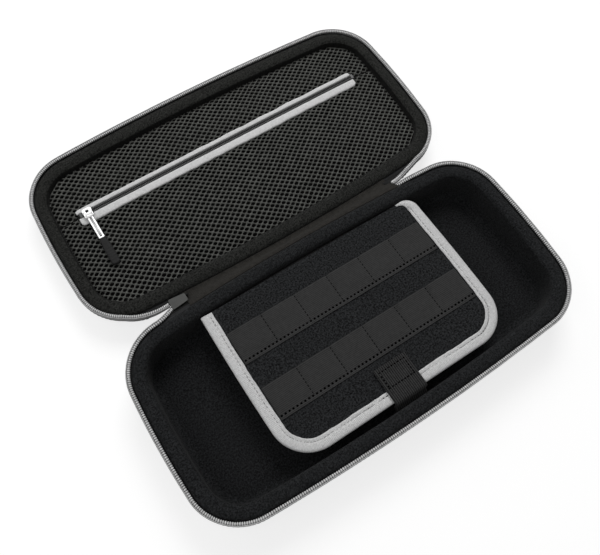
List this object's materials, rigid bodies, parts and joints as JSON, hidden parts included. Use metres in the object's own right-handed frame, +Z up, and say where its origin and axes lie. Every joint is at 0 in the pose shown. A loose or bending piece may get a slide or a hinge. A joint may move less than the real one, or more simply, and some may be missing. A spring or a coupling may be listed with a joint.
{
  "type": "portable game console case",
  "caption": "Open zipped hard-shell travel case for a handheld console: padded tray under a strapped card flap, and a cloth-hinged lid with a zipped mesh pocket.",
  "frame": {"origin": "centre of the tray's flat underside, on the table", "axes": "+X along the case, to the right seen from the tray's front; +Y from the tray towards the open lid; +Z up"},
  "size_m": [0.297, 0.3038, 0.032],
  "materials": {
    "shell_cloth": "woven cloth over moulded foam, dull",
    "tray_lining": "short soft pile",
    "lid_lining": "short soft pile",
    "zip_tape": "flat woven tape",
    "zip_teeth": "moulded coil, satin",
    "flap_fleece": "short soft pile",
    "binding": "ribbed woven tape",
    "card_elastic": "smooth elastic knit",
    "webbing": "ribbed elastic webbing",
    "hook_loop": "hook and loop tape",
    "spine_cloth": "woven cloth",
    "dark_metal": "gunmetal paint, satin",
    "mesh_cloth": "open air mesh",
    "welt_tape": "folded woven tape",
    "coil_plastic": "coil, satin",
    "bright_metal": "polished",
    "soft_grip": "soft, dull"
  },
  "bodies": {
    "tray": {"tray_shell": "shell_cloth", "tray_liner": "tray_lining", "tray_zip_tape": "zip_tape", "tray_zip_teeth": "zip_teeth", "card_flap_panel": "flap_fleece", "flap_binding": "binding", "flap_hinge_tape": "zip_tape", "card_strip_rear": "card_elastic", "card_strip_front": "card_elastic", "closure_strap": "webbing", "flap_loop_patch": "hook_loop", "strap_hook_patch": "hook_loop", "hinge_spine": "spine_cloth", "main_zip_slider": "dark_metal"},
    "lid": {"lid_shell": "shell_cloth", "lid_liner": "lid_lining", "lid_floor_panel": "lid_lining", "lid_zip_tape": "zip_tape", "lid_zip_teeth": "zip_teeth", "mesh_panel_front": "mesh_cloth", "mesh_panel_rear": "mesh_cloth", "pocket_zip_tape_front": "welt_tape", "pocket_zip_tape_rear": "welt_tape", "pocket_zip_coil_front": "coil_plastic", "pocket_zip_coil_rear": "coil_plastic", "pocket_zip_end_stops": "coil_plastic"},
    "main_pull": {"main_zip_pull": "dark_metal"},
    "pocket_slider": {"pocket_zip_slider": "bright_metal"},
    "pocket_pull": {"pocket_pull_bar": "bright_metal", "pocket_pull_grip": "soft_grip"}
  },
  "joints": [
    {"name": "lid_hinge", "type": "hinge", "parent": "tray", "child": "lid", "pos_m": [0, 0.0774, 0.0264], "axis": [1, 0, 0], "range_deg": [0, 180], "deforming": ["hinge_spine"]},
    {"name": "pocket_zip_slide", "type": "slide", "parent": "lid", "child": "pocket_slider", "axis": [1, 0, 0], "range_m": [0, 0.227]},
    {"name": "pocket_pull_swing", "type": "hinge", "parent": "pocket_slider", "child": "pocket_pull", "pos_m": [-0.1135, 0.1707, 0.0178], "axis": [-1, 0, 0], "range_deg": [0, 145]},
    {"name": "main_pull_swing", "type": "hinge", "parent": "tray", "child": "main_pull", "pos_m": [-0.0915, 0.0774, 0.0202], "axis": [0, 1, 0], "range_deg": [-50, 65]}
  ]
}
